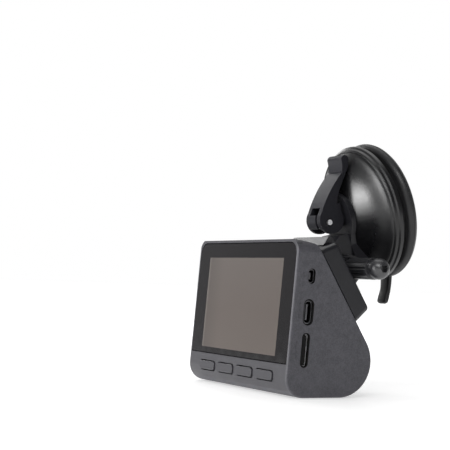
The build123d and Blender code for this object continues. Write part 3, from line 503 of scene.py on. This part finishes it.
# Widths of the small edge breaks on the hard parts, in millimetres.
EDGES = {"cam_lever": 0.28, "mount_base": 0.25, "neck_arm": 0.25, "pull_stem": 0.15, "socket_end_cap": 0.12,
         "rear_frame": 0.12, "base_plate": 0.15, "tightening_knob": 0.10, "suction_dome": 0.12}
WELD_GAP = 0.002
BREAK_ANGLE = math.radians(38)
BREAK_STEPS = 3
FACE_WEIGHT = 80
for name, width in EDGES.items():
    weld = nodes[name].modifiers.new("weld", "WELD")
    weld.merge_threshold = WELD_GAP * MM
    bevel = nodes[name].modifiers.new("edge_break", "BEVEL")
    bevel.width = width * MM
    bevel.segments = BREAK_STEPS
    bevel.limit_method = "ANGLE"
    bevel.angle_limit = BREAK_ANGLE
    bevel.use_clamp_overlap = True
    normals = nodes[name].modifiers.new("face_normals", "WEIGHTED_NORMAL")
    normals.keep_sharp = False
    normals.weight = FACE_WEIGHT


# ------------------------------------------------------------------ mesh tools
def piece(name, mesh, material, body, sharp):
    """Links a bmesh as a piece that rides on a body, smooth but for edges past sharp degrees."""
    bmesh.ops.recalc_face_normals(mesh, faces=mesh.faces)
    data = bpy.data.meshes.new(name)
    mesh.to_mesh(data)
    mesh.free()
    for face in data.polygons:
        face.use_smooth = True
    data.set_sharp_from_angle(angle=math.radians(sharp))
    data.materials.append(material)
    made = bpy.data.objects.new(name, data)
    bpy.context.scene.collection.objects.link(made)
    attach(made, body)
    return made


def bridge_rings(mesh, rings, closed=False):
    """Joins equal rings of vertices with quads; closed joins last to first, or else both ends are capped."""
    count = len(rings[0])
    for a, b in zip(rings, rings[1:] + rings[:1] if closed else rings[1:]):
        for i in range(count):
            j = (i + 1) % count
            mesh.faces.new((a[i], a[j], b[j], b[i]))
    if not closed:
        mesh.faces.new(rings[0])
        mesh.faces.new(rings[-1])


class Turned:
    """A frame for turned shapes: heights run along axis, in millimetres, from the origin in metres."""

    def __init__(self, origin, axis, across):
        self.origin, self.axis, self.across = Vector(origin), Vector(axis), Vector(across)
        self.up = self.axis.cross(self.across)

    def point(self, radius, turn, height):
        flat = self.across * math.cos(turn) + self.up * math.sin(turn)
        return self.origin + (flat * radius + self.axis * height) * MM

    def lathe(self, mesh, profile, steps, loop=True, ripple=None):
        """Turns an outline of (radius, height) points; an open outline is capped at both ends."""
        rings = []
        for radius, height in profile:
            ring = []
            for i in range(steps):
                turn = 2 * math.pi * i / steps
                r, h = ripple(radius, height, i, turn) if ripple else (radius, height)
                ring.append(mesh.verts.new(self.point(r, turn, h)))
            rings.append(ring)
        bridge_rings(mesh, rings, closed=loop)


def arc(centre, radius, start, end, steps):
    """Points of an arc, angles in degrees."""
    made = []
    for i in range(steps + 1):
        a = math.radians(start + (end - start) * i / steps)
        made.append((centre[0] + radius * math.cos(a), centre[1] + radius * math.sin(a)))
    return made


def ridges(start, end, count, height, lift):
    """Points of count rounded ridges between two radii on a face at height, each lift high."""
    made = []
    pitch = (end - start) / count
    for i in range(count):
        for share, rise in ((0.0, 0.0), (0.25, 0.55), (0.5, 1.0), (0.75, 0.55)):
            made.append((start + pitch * (i + share), height + lift * rise))
    return made


# ------------------------------------------------------------------ rubber pad and its pull tab
cup = Turned(cup_centre, cup_out, cup_across)


def soft_edge(radius, height, step, turn):
    """The moulded rim is not quite round."""
    if radius < 20:
        return radius, height
    return radius + 0.05 * math.sin(3 * turn + 0.6) * (radius - 20) / 9 - 0.05, height


mesh = bmesh.new()
# The pad's section as (radius, height): its middle, the ridged face on the glass, the rim, and the back.
profile = [(0.4, 1.35), (2.6, 1.35), (2.9, 1.2), (3.4, 1.2), (3.7, 1.35), (9.0, 1.3), (15.6, 1.25)]
profile += [(17.0, 1.2), (17.6, 0.75), (18.0, 0.28), (18.6, 0.06)]
profile += ridges(19.2, 26.6, 6, 0.05, 0.14)
profile += [(26.7, 0.04), (27.1, 0.10), (27.7, 0.42), (28.2, 0.98), (28.48, 1.6), (28.56, 2.0), (28.40, 2.12)]
profile += [(28.40, 2.32), (28.56, 2.44), (28.44, 2.95), (28.1, 3.6), (27.6, 4.12), (27.0, 4.4), (26.2, 4.48)]
profile += [(20.7, 4.48), (20.2, 4.2), (19.4, 3.5), (18.8, 3.2), (10.0, 3.2), (0.4, 3.2)]
cup.lathe(mesh, profile, 144, loop=False, ripple=soft_edge)
membrane = piece("suction_membrane", mesh, silicone, "suction_mount", 40)
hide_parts("rubber_pad")


def strip(mesh, stations, steps=20):
    """A flat strip with rounded edges through stations of (y, z, width along +X, half thickness)."""
    rings = []
    for i, (y, z, width, half) in enumerate(stations):
        before, after = stations[max(i - 1, 0)], stations[min(i + 1, len(stations) - 1)]
        run = Vector((0, after[0] - before[0], after[1] - before[1])).normalized()
        side = run.cross(Vector((1, 0, 0)))
        ring = []
        for k in range(steps):
            turn = 2 * math.pi * k / steps
            c, w = math.cos(turn), math.sin(turn)
            flat = math.copysign(abs(c) ** 0.35, c) * width / 2
            thick = math.copysign(abs(w) ** 0.7, w) * half
            ring.append(mesh.verts.new((Vector((cup_x, y, z)) + Vector((flat, 0, 0)) + side * thick) * MM))
        rings.append(ring)
    bridge_rings(mesh, rings)


def curve_points(points, count):
    """Points of a smooth line through a few points with any number of coordinates."""
    made = []
    last = len(points) - 1
    for i in range(count):
        t = i * last / (count - 1)
        k = min(int(t), last - 1)
        u = t - k
        near = points[max(k - 1, 0)], points[k], points[k + 1], points[min(k + 2, last)]
        made.append(tuple(
            0.5 * (2 * b + (c - a) * u + (2 * a - 5 * b + 4 * c - d) * u ** 2
                   + (3 * b - a - 3 * c + d) * u ** 3)
            for a, b, c, d in zip(*near)))
    return made


# The pull tab from the pad down to its tip, as strip()'s stations.
TAB = ((47.45, 49.4, 7.0, 1.1), (47.45, 46.0, 6.6, 1.05), (47.2, 42.6, 6.2, 1.05),
       (46.4, 39.4, 6.6, 1.15), (45.9, 37.4, 6.2, 1.05), (45.75, 36.7, 3.6, 0.5))
TAB_STATIONS = 22
mesh = bmesh.new()
strip(mesh, curve_points(TAB, TAB_STATIONS))
piece("pull_tab", mesh, silicone, "suction_mount", 50)

# ------------------------------------------------------------------ foam tape under the mount plate
SLOPE_TILT = math.radians(31.8)
foam_low, foam_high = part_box("adhesive_pad")
down_slope = Vector((0, math.sin(SLOPE_TILT), -math.cos(SLOPE_TILT)))
off_slope = Vector((0, math.cos(SLOPE_TILT), math.sin(SLOPE_TILT)))
FOAM = 0.6 * MM
foam_length = (foam_high.y - foam_low.y - FOAM * off_slope.y) / down_slope.y
foam_start = Vector((foam_low.x, foam_low.y, foam_high.z - FOAM * off_slope.z))


def rounded_loop(width, length, radius, steps=8):
    """A rounded rectangle from the origin, as (across, along) points."""
    made = []
    for cx, cy, start in ((width - radius, length - radius, 0), (radius, length - radius, 90),
                          (radius, radius, 180), (width - radius, radius, 270)):
        made += arc((cx, cy), radius, start, start + 90, steps)
    return made


mesh = bmesh.new()
rings = []
width = foam_high.x - foam_low.x
for depth, inset in ((0.0, 0.35), (0.06, 0.12), (0.22, 0.0), (0.5, 0.0),
                     (0.78, 0.0), (0.94, 0.12), (1.0, 0.35)):
    ring = []
    for i, (x, s) in enumerate(rounded_loop(width / MM - 2 * inset, foam_length / MM - 2 * inset, 2.0)):
        bulge = 0.06 * math.sin(i * 2.3) * math.sin(math.pi * depth)
        spot = Vector((1, 0, 0)) * (x + inset + bulge) + down_slope * (s + inset + bulge)
        ring.append(mesh.verts.new(foam_start + spot * MM + off_slope * depth * FOAM))
    rings.append(ring)
bridge_rings(mesh, rings)
tape = piece("foam_tape", mesh, foam, "camera", 50)
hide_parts("adhesive_pad")

# ------------------------------------------------------------------ friction washers on the pivot bar
washer_low, washer_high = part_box("friction_washers")
bar_centre = Vector((0, (washer_low.y + washer_high.y) / 2, (washer_low.z + washer_high.z) / 2))
washer_radius = (washer_high.y - washer_low.y) / 2 / MM
WASHER = 1.0


def toothed(radius, height, step, turn):
    """Fine teeth round a washer's rim."""
    return radius - (0.14 if step % 4 < 2 and radius > 5 else 0.0), height


for name, x in (("washer_left", washer_low.x), ("washer_right", washer_high.x - WASHER * MM)):
    turned = Turned((x, bar_centre.y, bar_centre.z), (1, 0, 0), (0, 1, 0))
    mesh = bmesh.new()
    outline = [(4.02, 0.1), (4.2, 0.0), (washer_radius - 0.3, 0.0), (washer_radius - 0.06, 0.18),
               (washer_radius, 0.5), (washer_radius - 0.06, 0.82), (washer_radius - 0.3, WASHER),
               (4.2, WASHER), (4.02, 0.9)]
    turned.lathe(mesh, outline, 96, ripple=toothed)
    washer = piece(name, mesh, silicone, "camera", 40)
    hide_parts("friction_washers")


# ------------------------------------------------------------------ generic raised marks beside the sockets
def raised_bars(name, x, marks):
    """Small rounded bars that stand off the face at x; marks are (y, z, length, width)."""
    mesh = bmesh.new()
    for y, z, length, width in marks:
        rings = []
        for lift, inset in ((-0.05, 0.0), (0.12, 0.0), (0.18, 0.05)):
            ring = []
            for a, b in rounded_loop(width - 2 * inset, length - 2 * inset, (width / 2 - inset) * 0.9, 3):
                ring.append(mesh.verts.new(Vector((x / MM + lift, y - width / 2 + inset + a,
                                                   z - length / 2 + inset + b)) * MM))
            rings.append(ring)
        bridge_rings(mesh, rings)
    piece(name, mesh, housing, "camera", 40)


cap_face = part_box("socket_end_cap")[1].x
MARK_PITCH, MARK_SETBACK, MARK_WIDTH = 1.35, 2.2, 0.45
socket_marks = []
for node, count in (("rear_camera_socket", 4), ("usb_socket", 5), ("card_socket", 5)):
    low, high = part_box(node)
    middle = (low.z + high.z) / 2 / MM
    for i in range(count):
        z = middle + (i - (count - 1) / 2) * MARK_PITCH
        socket_marks.append((low.y / MM - MARK_SETBACK, z, 0.75 if i % 2 else 0.95, MARK_WIDTH))
raised_bars("socket_marks", cap_face, socket_marks)

# ------------------------------------------------------------------ black liners that paint the shade inside the sockets' slots
SCREEN_TILT = math.radians(4.0)
up_screen = Vector((0, math.sin(SCREEN_TILT), math.cos(SCREEN_TILT)))
off_screen = Vector((0, math.cos(SCREEN_TILT), -math.sin(SCREEN_TILT)))
# Each slot's length and width, the shade liner's thickness along both, and its opening's shift forward.
SHADE_LINERS = {"rear_camera_socket_mouth": (5.9, 3.1, 0.22, 0.22, 0.0),
           "usb_power_socket": (10.2, 4.6, 0.50, 0.52, 0.0),
           "memory_card_slot": (13.4, 3.5, 0.45, 0.75, 0.2)}
SHADE_LINER_DEPTH = 1.1


def shade_liner(name, centre, length, width, end, side, forward):
    """A rounded black ring of painted shade that lines a slot in the end cap, from just below its face."""
    mesh = bmesh.new()
    rings = []
    for cut, sink, shift in ((0.01, 0.06, 0.0), (0.6, 0.10, 0.0), (1.0, 0.30, 1.0), (1.0, SHADE_LINER_DEPTH, 1.0),
                             (0.01, SHADE_LINER_DEPTH, 0.0)):
        tall, wide = length - 2 * end * cut, width - 2 * side * cut
        ring = []
        for across, along in rounded_loop(wide, tall, wide / 2 - 0.05):
            spot = off_screen * (across - wide / 2 + forward * shift) + up_screen * (along - tall / 2)
            ring.append(mesh.verts.new(centre + spot * MM - Vector((sink * MM, 0, 0))))
        rings.append(ring)
    bridge_rings(mesh, rings, closed=True)
    piece(name, mesh, shade_liner_black, "camera", 40)


for mount in record["mounts"]:
    if mount["name"] in SHADE_LINERS:
        middle = Vector((cap_face, mount["pos_m"][1], mount["pos_m"][2]))
        shade_liner(mount["name"] + "_shade_liner", middle, *SHADE_LINERS[mount["name"]])
